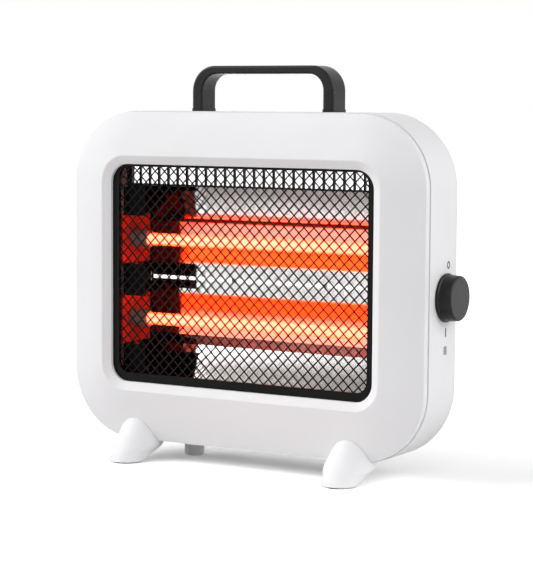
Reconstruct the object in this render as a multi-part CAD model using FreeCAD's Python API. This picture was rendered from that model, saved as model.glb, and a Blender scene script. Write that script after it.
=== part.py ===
import FreeCAD, Part
import os
from math import cos, pi, sin, sqrt

# Free-standing quartz heater with two tubes, a wire guard, a carrying handle and a rotary switch.
# Millimetres, +X to the right seen from the front, +Y to the rear, +Z up.
# Pieces are drawn with x = 0 in the middle of the body, y = 0 on the front of the window ring and
# z = 0 on the floor. The export moves them so that the origin is the middle of the footprint.

V = FreeCAD.Vector
ALONG_X, ALONG_Y, ALONG_Z = V(1, 0, 0), V(0, 1, 0), V(0, 0, 1)

# Clearances
fit_gap = 0.15          # between pieces that seat on each other
run_gap = 0.05          # spindle in its bush
knob_gap = 0.6          # turning knob above the side wall
overrun = 4.0           # how far a cutting solid passes the face that it opens
same_place = 0.01       # points closer than this lie on one plane

# Housing
body_width = 320.0
body_height = 265.0
body_depth = 69.0       # front of the window ring to the rear wall
body_corner = 57.0
rear_edge = 10.0        # rounding of the rear wall's edge
wall = 2.5
foot_height = 15.0      # clear height of the body above the floor
seam_gap = 0.6          # open groove at the parting line
reveal = 0.9            # the shell stands this far proud of the bezel

# Front bezel
bezel_depth = 16.0
band_depth = 6.0        # upright edge of the bezel at the parting line
window_side = 40.75     # body beside the window
window_frame = 45.0     # body above and below it, before it is raised
window_corner = 15.0
window_rise = 2.8       # middle of the window above the middle of the body
ring_width = 6.5        # bevelled ring round the window
ring_depth = 3.3
ring_land = 0.8
face_wall = 3.0
return_wall = 3.5       # lip that runs back from the window
return_depth = 6.0
tongue_wall = 1.4       # lip that centres the bezel in the shell
tongue_reach = 3.0
tongue_root = 4.5
tongue_gap = 0.2
crown_power = 1.12      # 1 is a flat slope, 2 an elliptic pillow
crown_shares = (0, 0.3, 0.6, 0.8, 0.92, 1)

# Wire guard
wire_diameter = 1.1
wire_pitch = 8.8        # diagonal of one diamond
layer_gap = 0.1
rim_thickness = 3.0
rim_side = 6.0          # visible width of the rim at each side, the bottom and the top
rim_bottom = 7.0
rim_top = 2.0
rim_under = 4.0         # hidden behind the bezel's lip
rim_corner = 9.0
wire_embed = 1.8        # wire ends held in the rim

# Heating unit: reflector, end plates and tubes
unit_inset = 7.25       # end plates inside the window
unit_margin = 13.0      # window above and below the pressed part of the reflector
unit_skirt = 11.0       # plain sheet below it
unit_drop = 5.8         # middle of the unit below the middle of the window
tube_spacing_share = 0.433      # of the unit's height
tube_depth = 28.0       # tube axis behind the window ring
tube_diameter = 10.0
tube_wall = 1.0
reflector_sheet = 0.6
panel_set = 9.0         # upper and lower edge of the reflector, in front of the plates' rear edge
fold_set = 3.0
trough_set = 6.0
trough_sag = 3.3
fold_height = 51.4      # heights above and below the middle of the unit
fold_drop = 3.0         # both folds lower than that
trough_height = 46.0
land_height = 12.0      # flat land between the troughs
sheet_slit = 3.0        # slit in the middle of the land
slit_end = 2.0          # sheet left at each end of the slit
plate_sheet = 1.0
plate_front = 12.0
rear_room = 13.0        # from the plates to the rear of the body
plate_window_share = 0.262      # height of a plate's window, of the unit's height
plate_window_margin = 5.0
plate_flange = 12.0
plate_lip = 20.0        # front lip of the left plate
cap_diameter = 14.0
cap_outboard = 17.0     # caps' outer ends, measured from the end plates
cap_inboard = 14.0      # inner ends of the left caps
far_cap_inboard = 5.0   # inner ends of the right caps
cap_flange_diameter = 18.0
cap_flange = 3.0
stud_diameter = 4.0
stud_length = 16.0
bracket_sheet = 1.2
bracket_tab = 8.0
bracket_lap = 6.0       # riveted tab beyond the plate's window
bracket_edge = 1.5      # bracket beyond the window's other edges
rivet_diameter = 3.0
rivet_head = 5.2
rivet_head_height = 1.2
coil_diameter = 7.0
coil_wire = 1.0
coil_turns = 12

# Rear vents
vent_inset = 17.0       # ends of the slotted strip inside the body
vent_pitch = 9.2
vent_slot_width = 7.6
vent_bar_depth = 2.0
vent_slot_height = 18.0
vent_drop = 60.5        # lower end of the slots below the body's top
vent_margin = 2.6       # rim of the strip round its slots
vent_flange = 2.4
vent_corner = 3.0
intake_slots = 11
intake_slot_width = 4.6
intake_slot_height = 19.0
intake_rise = 22.0      # above the body's lowest face
relief_slots = 3        # long slots behind the reflector's slit
relief_length = 82.0
relief_rib = 3.0
relief_height = 9.0
relief_drop = 2.7       # their middle below the middle of the heating unit

# Handle
handle_width = 129.0
handle_rise = 36.0
handle_strap = 20.5
handle_leg = 9.4
handle_bar = 6.4
handle_outer_corner = 20.0
handle_inner_corner = 13.0
handle_edge = 1.6
handle_collar = 0.4
handle_collar_height = 2.2
handle_back = 20.5      # middle of the strap in front of the body's rear

# Feet
foot_inset = 62.5       # middles of the front feet inside the body
foot_radius = 20.0
foot_rise = 20.2        # top of a foot above the body's lowest face
toe_reach = 20.0        # toe in front of the window ring
toe_lean = 25.5         # how far the front of a foot leans back up to its top
sole_length = 12.0      # flat part under the toe
tail_reach = 36.0       # end of the foot behind the window ring
tail_height = 12.9      # underside of that end above the floor
arch_sag = 2.6          # rise of the arched underside over a straight slope
foot_web = 26.0
web_corner = 8.0
foot_lip = 0.6          # lip along the foot's lower edge
foot_lip_height = 1.5
bell_shares = ((0, 0.7, 0), (0.09, 0.79, 0.1), (0.24, 0.915, 0.27), (0.32, 0.985, 0.36), (0.41, 0.98, 0.47),
               (0.59, 0.86, 0.64), (0.76, 0.83, 0.8), (0.91, 0.86, 0.91), (1, 0.885, 1))
pad_radius = 5.0
pad_thickness = 2.2
pad_stand = 1.0         # pad below the foot
pad_set = 7.0           # middle of the pad behind the tip of the toe
foot_screw_spread = 16.0
foot_screw_back = 26.0  # screws behind the window ring
rear_foot_inset = 91.0  # middles of the rear feet inside the body
rear_foot_back = 19.0   # and in front of the body's rear
rear_foot_radius = 8.0
rear_foot_edge = 1.5

# Switch and knob
knob_back = 26.0        # axis in front of the body's rear
knob_drop = 5.5         # axis below the middle of the body
knob_diameter = 35.2
knob_face_diameter = 34.2
knob_skirt_diameter = 37.0
knob_skirt = 2.2
knob_length = 11.8
skirt_edge_share = 0.6  # upright part of the skirt
knob_edge = 1.6
knob_wall = 2.4
knob_hub = 12.0
spindle_diameter = 6.0
spindle_flat = 1.2
spindle_end = 2.2       # spindle ends this far below the knob's face
switch_width = 28.0
switch_length = 24.0
switch_bore = 12.0      # depth of the spindle's seat in the switch
switch_edge = 1.5
bush_diameter = 10.0
bush_stand = 3.4
nut_across = 14.0
nut_thickness = 2.5
blade_width = 6.0
blade_length = 8.0
blade_sheet = 0.8
blade_spread = 14.0

# Screws
screw_diameter = 3.5
screw_head = 6.6
screw_head_height = 2.4
screw_slack = 0.1       # round a shank in its hole
boss_wall = 2.6
case_screw_length = 20.0
case_seat = 42.0        # depth of the case screws' seats behind the window ring
case_post_wall = 1.8
case_corner_share = 0.74    # place of a corner screw between the corner's centre and the wall
case_edge_inset = 13.0      # upper and lower middle screw inside the body's edge
guard_screw_length = 6.0
guard_head = 10.0       # washer head that overlaps the rim
guard_boss = 6.0
guard_screw_share = 0.6     # height of the guard screws, of half the window
frame_screw_length = 8.0
frame_screw_share = 0.8     # height of the frame screws, of half the unit
handle_screw_length = 14.0
foot_screw_length = 13.0
foot_boss_height = 11.0

# Electrical pieces
cutout_diameter = 11.5
cutout_height = 7.0
cutout_flange = 1.2
cutout_flange_width = 26.0
cutout_flange_height = 16.0
cutout_screw_spread = 19.0
cutout_share = 4 / 7    # way from the plates' front edge to the reflector's outer edges
cutout_rise = 9.5       # above the plates' lower edge
block_width = 30.0
block_height = 14.0
block_depth = 13.0
block_wells = 3
block_well_diameter = 5.0
block_well_depth = 6.0
well_share = 0.26       # wells off the middle, of the block's height
block_inset = 53.0      # middle of the block inside the body's left side
block_rise = 26.0       # middle of the block above the body's lowest face
tip_width = 24.0
tip_depth = 18.0
tip_height = 22.0
tip_edge = 2.0
tip_inset = 102.0       # inside the body's right side
tip_flange = 7.0
tip_flange_sheet = 2.0
gland_inset = 82.0      # inside the body's left side
gland_rise = 24.0
gland_diameter = 12.0
gland_bore = 7.6
gland_flange = 3.0
gland_flange_thickness = 2.0

# Places that follow from the sizes
body_mid = foot_height + body_height / 2
body_top = foot_height + body_height
body_inside = body_width / 2 - wall
floor_inside = foot_height + wall
roof_inside = body_top - wall
shell_front = bezel_depth + seam_gap
pillow_depth = bezel_depth - band_depth
rear_inside = body_depth - wall
window_mid = body_mid + window_rise
window_width = body_width - 2 * window_side
window_height = body_height - 2 * window_frame
unit_length = window_width - 2 * unit_inset
unit_height = window_height - 2 * unit_margin
tube_spacing = tube_spacing_share * unit_height
plate_window_height = plate_window_share * unit_height
plate_back = body_depth - rear_room
panel_depth = plate_back - panel_set
fold_depth = plate_back - fold_set
trough_edge_depth = plate_back - trough_set
cutout_depth = plate_front + cutout_share * (panel_depth - plate_front)
vent_slots = int((body_width - 2 * vent_inset) / vent_pitch)
vent_bottom = body_top - vent_drop
intake_bottom = foot_height + intake_rise
handle_depth = body_depth - handle_back
knob_depth = body_depth - knob_back
foot_spread = body_width - 2 * foot_inset
rear_foot_side = body_width / 2 - rear_foot_inset
rear_foot_depth = body_depth - rear_foot_back
half_depth = body_depth / 2
block_side = body_width / 2 - block_inset
tip_side = body_width / 2 - tip_inset
gland_side = body_width / 2 - gland_inset
unit_mid = window_mid - unit_drop
unit_low = unit_mid - unit_height / 2 - unit_skirt
unit_high = unit_mid + unit_height / 2
cutout_mid = unit_low + cutout_rise
relief_bottom = unit_mid - relief_drop - relief_height / 2
rim_width = body_width - 2 * reveal
rim_height = body_height - 2 * reveal
ring_outer_width = window_width + 2 * ring_width
ring_outer_height = window_height + 2 * ring_width
ring_corner = window_corner + ring_width
knob_mid = body_mid - knob_drop
side_face = body_width / 2
tube_heights = {"upper": unit_mid + tube_spacing / 2, "lower": unit_mid - tube_spacing / 2}
sides = {"left": -1, "right": 1}
screw_hole = screw_diameter / 2 + screw_slack
boss_radius = screw_diameter / 2 + boss_wall
origin = V((knob_gap + knob_length) / 2, (body_depth + gland_flange_thickness - toe_reach) / 2, 0)


def loop(width, height, radius, y, z):
    """Rounded rectangle standing upright at depth y, with its middle at height z."""
    arcs = []
    for quarter, (side, level) in enumerate(((1, 1), (-1, 1), (-1, -1), (1, -1))):
        middle = V(side * (width / 2 - radius), y, z + level * (height / 2 - radius))
        turns = [(quarter + share) * pi / 2 for share in (0, 0.5, 1)]
        arcs.append(Part.Arc(*[middle + V(cos(t), 0, sin(t)) * radius for t in turns]))
    edges = []
    for arc, following in zip(arcs, arcs[1:] + arcs[:1]):
        edges.append(arc.toShape())
        edges.append(Part.makeLine(arc.EndPoint, following.StartPoint))
    return Part.Wire(edges)


def prism(wire, depth):
    """The flat area inside a wire, drawn out towards the rear."""
    return Part.Face(wire).extrude(V(0, depth, 0))


def rod(start, direction, length, diameter):
    """Round bar from a start point along a direction."""
    return Part.makeCylinder(diameter / 2, length, start, direction)


def block(low, high):
    """Box between its lowest and highest corner."""
    size = high - low
    return Part.makeBox(size.x, size.y, size.z, low)


def joined(shapes):
    """One solid from shapes that overlap."""
    return shapes[0].multiFuse(shapes[1:]).removeSplitter()


def revolve_x(points, start):
    """Solid of revolution about the X axis through start, from (along, radius) points."""
    outline = [start + V(along, 0, radius) for along, radius in points]
    face = Part.Face(Part.makePolygon(outline + outline[:1]))
    return face.revolve(start, ALONG_X, 360)


def flat_edges(shape, y):
    """Edges of a shape that lie in the upright plane at depth y."""
    return [e for e in shape.Edges if all(abs(v.Y - y) < same_place for v in e.Vertexes)]


def screw(seat, direction, length, head_diameter=screw_head):
    """Pan-head screw: the underside of its head lies at seat, the shank points along direction."""
    head = rod(seat - direction * screw_head_height, direction, screw_head_height, head_diameter)
    rim = max(head.Edges, key=lambda e: -e.CenterOfMass.dot(direction))
    head = head.makeFillet(screw_head_height / 2, [rim])
    return head.fuse(rod(seat, direction, length, screw_diameter)).removeSplitter()


def crown_section(share, grow, setback):
    """Section of the bezel's sloping face: share 0 at the window ring, 1 at the upright edge."""
    inner_width = ring_outer_width + 2 * ring_land
    inner_height = ring_outer_height + 2 * ring_land
    width = inner_width + share * (rim_width - inner_width) + 2 * grow
    height = inner_height + share * (rim_height - inner_height) + 2 * grow
    radius = ring_corner + share * (body_corner - reveal - ring_corner) + grow
    depth = pillow_depth * (1 - (1 - share ** crown_power) ** (1 / crown_power))
    return loop(width, height, radius, depth + setback, window_mid + share * (body_mid - window_mid))


def crown(grow, setback):
    """Solid form of the bezel, grown sideways and set back by the given lengths."""
    pillow = Part.makeLoft([crown_section(share, grow, setback) for share in crown_shares], True, False)
    edge = loop(rim_width + 2 * grow, rim_height + 2 * grow, body_corner - reveal + grow,
                pillow_depth + setback, body_mid)
    return pillow.fuse(prism(edge, band_depth)).removeSplitter()


def shell_form(grow):
    """Solid outer form of the rear shell with its rounded rear edge."""
    outline = loop(body_width + 2 * grow, body_height + 2 * grow, body_corner + grow, shell_front, body_mid)
    form = prism(outline, body_depth + grow - shell_front)
    return form.makeFillet(rear_edge + grow, flat_edges(form, body_depth + grow))


def envelope():
    """Everything that the closed housing fills, with the clearance that seated pieces keep from it."""
    seam = loop(rim_width, rim_height, body_corner - reveal, bezel_depth - seam_gap, body_mid)
    return [crown(fit_gap, -fit_gap), shell_form(fit_gap), prism(seam, 3 * seam_gap)]


def case_screw_places():
    """Screws that hold the bezel on the shell: one in each corner, one above and one below."""
    reach = body_corner * case_corner_share * sqrt(0.5)
    across = body_width / 2 - body_corner + reach
    up = body_height / 2 - body_corner + reach
    places = [(x * across, body_mid + z * up) for x in (-1, 1) for z in (-1, 1)]
    return places + [(0, foot_height + case_edge_inset), (0, body_top - case_edge_inset)]


def guard_screw_places():
    """Screws beside the guard's rim, whose heads overlap it."""
    across = window_width / 2 + rim_under + fit_gap + guard_boss / 2
    rise = guard_screw_share * window_height / 2
    return [(x * across, window_mid + z * rise) for x in (-1, 1) for z in (-1, 1)]


def frame_screw_places():
    """Screws through the end plates' flanges into the shell's bosses."""
    across = unit_length / 2 + plate_sheet + plate_flange / 2
    rise = frame_screw_share * unit_height / 2
    return [(x * across, unit_mid + z * rise) for x in (-1, 1) for z in (-1, 1)]


def rear_foot_places():
    """Middles of the rear feet, as (x, y)."""
    return [(side * rear_foot_side, rear_foot_depth) for side in (-1, 1)]


def foot_screw_places():
    """Screws up through all feet into the shell's floor, as (x, y)."""
    front = [((side * foot_spread + step * foot_screw_spread) / 2, foot_screw_back)
             for side in (-1, 1) for step in (-1, 1)]
    return front + rear_foot_places()


def handle_screw_places():
    """Screws from inside the shell into the handle's legs, as (x, y)."""
    across = (handle_width - handle_leg) / 2
    return [(x * across, handle_depth) for x in (-1, 1)]


def front_bezel():
    """Moulded front: crowned face, bevelled window ring, return lip, centring tongue and bosses."""
    outer = crown(0, 0)
    pieces = [outer.cut(crown(-wall, face_wall))]
    lip_width = window_width + 2 * return_wall
    lip_height = window_height + 2 * return_wall
    lip_corner = window_corner + return_wall
    pieces.append(prism(loop(lip_width, lip_height, lip_corner, ring_depth / 2, window_mid),
                        return_depth - ring_depth / 2))
    tongue_width = body_width - 2 * wall - 2 * tongue_gap
    tongue_height = body_height - 2 * wall - 2 * tongue_gap
    tongue_corner = body_corner - wall - tongue_gap
    start = bezel_depth - tongue_root
    length = tongue_root + seam_gap + tongue_reach
    outside = prism(loop(tongue_width, tongue_height, tongue_corner, start, body_mid), length)
    inside = prism(loop(tongue_width - 2 * tongue_wall, tongue_height - 2 * tongue_wall,
                        tongue_corner - tongue_wall, start, body_mid), length)
    pieces.append(outside.cut(inside))
    boss_end = case_seat - boss_wall - fit_gap
    for x, z in case_screw_places():
        pieces.append(rod(V(x, 0, z), ALONG_Y, bezel_depth, 2 * boss_radius).common(outer))
        pieces.append(rod(V(x, bezel_depth, z), ALONG_Y, boss_end - bezel_depth, 2 * boss_radius))
    guard_seat = return_depth + rim_thickness
    for x, z in guard_screw_places():
        pieces.append(rod(V(x, 0, z), ALONG_Y, guard_seat, guard_boss).common(outer))
    bezel = joined(pieces)
    bevel_front = loop(ring_outer_width, ring_outer_height, ring_corner, 0, window_mid)
    bevel_rear = loop(window_width, window_height, window_corner, ring_depth, window_mid)
    bevel = Part.makeLoft([bevel_front, bevel_rear], True, True)
    opening = prism(loop(window_width, window_height, window_corner, -overrun, window_mid),
                    return_depth + 2 * overrun)
    holes = []
    for places, seat, length in ((case_screw_places(), boss_end, case_screw_length),
                                 (guard_screw_places(), guard_seat, guard_screw_length)):
        for x, z in places:
            holes.append(rod(V(x, seat - length, z), ALONG_Y, length + overrun, 2 * screw_hole))
    return bezel.cut([bevel, opening] + holes)


def shell_slots(count, pitch, width, height, bottom):
    """Row of upright slots through the rear wall."""
    first = -(count - 1) * pitch / 2
    return [block(V(first + i * pitch - width / 2, rear_inside - overrun, bottom),
                  V(first + i * pitch + width / 2, body_depth + overrun, bottom + height))
            for i in range(count)]


def vent_size():
    """Width and height of the opening that the vent strip fills."""
    span = (vent_slots - 1) * vent_pitch + vent_slot_width
    return span + 2 * vent_margin, vent_slot_height + 2 * vent_margin


def rear_shell():
    """Moulded rear casing: tray with rounded edge, posts, bosses, vents and holes."""
    form = shell_form(0)
    inner = prism(loop(body_width - 2 * wall, body_height - 2 * wall, body_corner - wall,
                       shell_front - overrun, body_mid), rear_inside - shell_front + overrun)
    inner = inner.makeFillet(rear_edge - wall, flat_edges(inner, rear_inside))
    pieces = [form.cut(inner)]
    holes = []
    post = screw_head + 2 * (screw_slack + case_post_wall)
    post_start = case_seat - boss_wall
    for x, z in case_screw_places():
        pieces.append(rod(V(x, post_start, z), ALONG_Y, rear_inside - post_start + wall / 2, post))
        holes.append(rod(V(x, post_start - overrun, z), ALONG_Y, body_depth, 2 * screw_hole))
        holes.append(rod(V(x, case_seat, z), ALONG_Y, body_depth, screw_head + 2 * screw_slack))
    for x, z in frame_screw_places():
        pieces.append(rod(V(x, plate_back, z), ALONG_Y, rear_inside - plate_back + wall / 2,
                          2 * boss_radius))
        holes.append(rod(V(x, plate_back - overrun, z), ALONG_Y, frame_screw_length + overrun,
                         2 * screw_hole))
    for x, y in foot_screw_places():
        pieces.append(rod(V(x, y, foot_height + wall / 2), ALONG_Z, foot_boss_height, 2 * boss_radius))
        holes.append(rod(V(x, y, foot_height - overrun), ALONG_Z, overrun + wall + foot_boss_height,
                         2 * screw_hole))
    for x, y in handle_screw_places():
        holes.append(rod(V(x, y, roof_inside - overrun), ALONG_Z, wall + 2 * overrun, 2 * screw_hole))
    for x, z in block_screw_places():
        holes.append(rod(V(x, rear_inside - overrun, z), ALONG_Y, overrun + wall / 2, 2 * screw_hole))
    for x, y in tip_screw_places():
        holes.append(rod(V(x, y, foot_height + wall / 2), ALONG_Z, wall + overrun, 2 * screw_hole))
    bush = bush_diameter + 2 * fit_gap
    holes.append(rod(V(body_inside - overrun, knob_depth, knob_mid), ALONG_X, wall + 2 * overrun, bush))
    holes.append(rod(V(-gland_side, rear_inside - overrun, foot_height + gland_rise), ALONG_Y,
                     wall + 2 * overrun, gland_diameter + 2 * fit_gap))
    vent_width, vent_height = vent_size()
    vent_mid = vent_bottom + vent_slot_height / 2
    holes.append(prism(loop(vent_width, vent_height, vent_corner, rear_inside - overrun, vent_mid),
                       wall + 2 * overrun))
    holes += shell_slots(intake_slots, vent_pitch, intake_slot_width, intake_slot_height, intake_bottom)
    holes += shell_slots(relief_slots, relief_length + relief_rib, relief_length, relief_height,
                         relief_bottom)
    return joined(pieces).cut(holes)


def rear_vent_grille():
    """Black slotted strip that fills the shell's upper vent, with a flange behind the wall."""
    vent_width, vent_height = vent_size()
    vent_mid = vent_bottom + vent_slot_height / 2
    strip = prism(loop(vent_width - 2 * fit_gap, vent_height - 2 * fit_gap, vent_corner - fit_gap,
                       rear_inside - wall / 2, vent_mid), wall / 2 + wall)
    front = rear_inside - wall / 2 - fit_gap
    flange = prism(loop(vent_width + 2 * vent_flange, vent_height + 2 * vent_flange,
                        vent_corner + vent_flange, front, vent_mid), wall / 2)
    slots = shell_slots(vent_slots, vent_pitch, vent_slot_width, vent_slot_height, vent_bottom)
    half_span = vent_width / 2 - vent_margin
    behind_bars = block(V(-half_span, front + vent_bar_depth, vent_bottom),
                        V(half_span, body_depth + overrun, vent_bottom + vent_slot_height))
    return joined([strip, flange]).cut(slots + [behind_bars])


def guard_wires(slant, depth):
    """One layer of parallel wires at 45 degrees, cut to end inside the rim."""
    half_width = window_width / 2 - rim_side + wire_embed
    low = window_mid - window_height / 2 + rim_bottom - wire_embed
    high = window_mid + window_height / 2 - rim_top + wire_embed
    reach = int((half_width + high - low) / wire_pitch) + 1
    wires = []
    for i in range(-reach, reach + 1):
        foot = i * wire_pitch - slant * (high - low) / 2
        start = max(-half_width, min(foot, foot + slant * (high - low)))
        end = min(half_width, max(foot, foot + slant * (high - low)))
        if end - start > wire_pitch:
            bottom = V(start, depth, low + slant * (start - foot))
            top = V(end, depth, low + slant * (end - foot))
            wires.append(rod(bottom, top - bottom, (top - bottom).Length, wire_diameter))
    return wires


def wire_guard():
    """Guard: a flat rim behind the bezel's lip and two layers of diagonal wires fused into it."""
    outer = prism(loop(window_width + 2 * rim_under, window_height + 2 * rim_under,
                       window_corner + rim_under, return_depth, window_mid), rim_thickness)
    inner_height = window_height - rim_bottom - rim_top
    inner_mid = window_mid + (rim_bottom - rim_top) / 2
    inner = prism(loop(window_width - 2 * rim_side, inner_height, rim_corner,
                       return_depth - overrun, inner_mid), rim_thickness + 2 * overrun)
    middle = return_depth + rim_thickness / 2
    step = (wire_diameter + layer_gap) / 2
    wires = guard_wires(1, middle - step) + guard_wires(-1, middle + step)
    return outer.cut(inner).multiFuse(wires)


def reflector_line(setback):
    """Edges of the sheet's front or rear face in the middle plane, from the lower edge to the upper."""
    def at(depth, height):
        return V(0, depth + setback, unit_mid + height)
    trough_mid = (trough_height + land_height) / 2
    edges = []
    for level in (-1, 1):
        corner = at(panel_depth, unit_height / 2 if level > 0 else -unit_height / 2 - unit_skirt)
        fold = at(fold_depth, level * fold_height - fold_drop)
        edge = at(trough_edge_depth, level * trough_height)
        bottom = at(trough_edge_depth + trough_sag, level * trough_mid)
        land = at(trough_edge_depth, level * land_height)
        edges += [Part.makeLine(corner, fold), Part.makeLine(fold, edge),
                  Part.Arc(edge, bottom, land).toShape()]
    edges.append(Part.makeLine(at(trough_edge_depth, -land_height), at(trough_edge_depth, land_height)))
    return edges


def reflector():
    """Polished sheet between the end plates: two troughs and a slit land between them."""
    front = Part.Wire(Part.sortEdges(reflector_line(0))[0])
    rear = Part.Wire(Part.sortEdges(reflector_line(reflector_sheet))[0])
    ends = [Part.makeLine(V(0, panel_depth, z), V(0, panel_depth + reflector_sheet, z))
            for z in (unit_low, unit_high)]
    outline = Part.Wire(Part.sortEdges(front.Edges + rear.Edges + ends)[0])
    length = unit_length - 2 * fit_gap
    outline.translate(V(-length / 2, 0, 0))
    sheet = Part.Face(outline).extrude(V(length, 0, 0))
    reach = length / 2 - slit_end
    return sheet.cut(block(V(-reach, trough_edge_depth - overrun, unit_mid - sheet_slit / 2),
                           V(reach, trough_edge_depth + overrun, unit_mid + sheet_slit / 2)))


def end_plate(side):
    """Black plate across one end of the unit, with tube windows, a screwed flange and a lip at the left."""
    inner = unit_length / 2
    outer = inner + plate_sheet
    end = outer + plate_flange + overrun
    pieces = [block(V(inner, plate_front, unit_low), V(outer, plate_back, unit_high)),
              block(V(inner, plate_back - plate_sheet, unit_low),
                    V(outer + plate_flange, plate_back, unit_high))]
    relief = V(0, 0, relief_height / 2)
    cuts = [block(V(inner - overrun, trough_edge_depth, unit_mid) - relief,
                  V(end, plate_back + overrun, unit_mid) + relief)]
    for height in tube_heights.values():
        half = V(0, 0, plate_window_height / 2)
        cuts.append(block(V(inner - plate_lip - overrun, plate_front - overrun, height) - half,
                          V(outer + overrun, plate_back - plate_window_margin - plate_sheet, height) + half))
        for level in (-1, 1):
            cuts.append(rod(rivet_place(height, level) + V(inner - overrun, 0, 0), ALONG_X,
                            plate_sheet + 2 * overrun, rivet_diameter + 2 * screw_slack))
    for x, z in frame_screw_places():
        if x > 0:
            cuts.append(rod(V(x, plate_back - overrun, z), ALONG_Y, 2 * overrun, 2 * screw_hole))
    if side < 0:
        pieces.append(block(V(inner - plate_lip, plate_front, unit_low),
                            V(outer, plate_front + plate_sheet, unit_high)))
        for y, z in cutout_screw_places():
            cuts.append(rod(V(inner - overrun, y, z), ALONG_X, plate_sheet + 2 * overrun, 2 * screw_hole))
    return mirrored(joined(pieces).cut(cuts), side)


def mirrored(shape, side):
    """The shape as drawn for the right, or its mirror image for the left."""
    return shape if side > 0 else shape.mirror(V(0, 0, 0), ALONG_X)


def rivet_place(height, level):
    """Rivet above or below a tube, on the lap of its bracket."""
    return V(0, tube_depth, height + level * (plate_window_height + bracket_lap) / 2)


def tube_bracket(side, height):
    """Steel plate behind a window of the end plate, with a hole for the tube's cap and two riveted tabs."""
    start = unit_length / 2 + plate_sheet
    reach = plate_window_height / 2
    tabs = block(V(start, tube_depth - bracket_tab / 2, height - reach - bracket_lap),
                 V(start + bracket_sheet, tube_depth + bracket_tab / 2, height + reach + bracket_lap))
    rear = plate_back - plate_window_margin - plate_sheet + bracket_edge
    plate = block(V(start, plate_front - bracket_edge, height - reach - bracket_edge),
                  V(start + bracket_sheet, rear, height + reach + bracket_edge))
    cuts = [rod(V(start - overrun, tube_depth, height), ALONG_X, bracket_sheet + 2 * overrun,
                cap_diameter + 2 * fit_gap)]
    for level in (-1, 1):
        cuts.append(rod(rivet_place(height, level) + V(start - overrun, 0, 0), ALONG_X,
                        bracket_sheet + 2 * overrun, rivet_diameter + 2 * screw_slack))
    return mirrored(joined([tabs, plate]).cut(cuts), side)


def bracket_rivets():
    """Rivets through brackets and end plates."""
    rivets = []
    for side in sides.values():
        for height in tube_heights.values():
            for level in (-1, 1):
                inner = unit_length / 2
                outer = inner + plate_sheet + bracket_sheet
                place = rivet_place(height, level)
                shank = rod(place + V(inner - rivet_head_height, 0, 0), ALONG_X,
                            outer - inner + 2 * rivet_head_height, rivet_diameter)
                heads = [rod(place + V(x, 0, 0), ALONG_X, rivet_head_height, rivet_head)
                         for x in (inner - rivet_head_height, outer)]
                rivets.append(mirrored(joined([shank] + heads), side))
    return Part.makeCompound(rivets)


def cap_start(side):
    """Inner end of the caps at one side, measured outwards from the middle."""
    return unit_length / 2 - (far_cap_inboard if side > 0 else cap_inboard)


def tube_end():
    """Outer end of the quartz tubes, inside the caps."""
    return unit_length / 2 + cap_outboard - cap_flange


def end_cap(side, height):
    """Ceramic cap on a tube's end, with a collar that seats on the bracket."""
    axis = V(0, tube_depth, height)
    inner = cap_start(side)
    length = unit_length / 2 + cap_outboard - inner
    collar = unit_length / 2 + plate_sheet + bracket_sheet
    cap = rod(axis + V(inner, 0, 0), ALONG_X, length, cap_diameter)
    cap = cap.fuse(rod(axis + V(collar, 0, 0), ALONG_X, cap_flange, cap_flange_diameter)).removeSplitter()
    seat = tube_diameter + 2 * fit_gap
    depth = tube_end() + fit_gap - inner
    bore = rod(axis + V(inner - overrun, 0, 0), ALONG_X, depth + overrun, seat)
    hole = rod(axis + V(inner, 0, 0), ALONG_X, length + overrun, stud_diameter + 2 * fit_gap)
    return mirrored(cap.cut([bore, hole]), side)


def quartz_tube(height):
    """Open quartz tube between its two caps."""
    start = V(-tube_end(), tube_depth, height)
    outside = rod(start, ALONG_X, 2 * tube_end(), tube_diameter)
    return outside.cut(rod(start, ALONG_X, 2 * tube_end(), tube_diameter - 2 * tube_wall))


def tube_terminal(side, height):
    """Stud in a cap, with a head inside the tube that carries the end of the coil."""
    axis = V(0, tube_depth, height)
    start = tube_end() - cap_flange
    head = rod(axis + V(start, 0, 0), ALONG_X, cap_flange, tube_diameter - 2 * tube_wall - 2 * fit_gap)
    stud = rod(axis + V(start, 0, 0), ALONG_X, stud_length, stud_diameter)
    return mirrored(head.fuse(stud).removeSplitter(), side)


def biarc(start, end, first, last):
    """Two tangent arcs from start to end, with the given unit tangents."""
    chord = end - start
    spread = 1 - first.dot(last)
    along = chord.dot(first + last)
    reach = (sqrt(along * along + 2 * spread * chord.dot(chord)) - along) / (2 * spread)
    corners = (start + first * reach, end - last * reach)
    meet = (corners[0] + corners[1]) * 0.5
    arcs = []
    for a, corner, b in ((start, corners[0], meet), (meet, corners[1], end)):
        middle = (a + b) * 0.5
        turn = (b - a).Length / (2 * (corner - a).Length)
        arcs.append(Part.Arc(a, middle + (corner - middle) * (turn / (1 + turn)), b).toShape())
    return arcs


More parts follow.
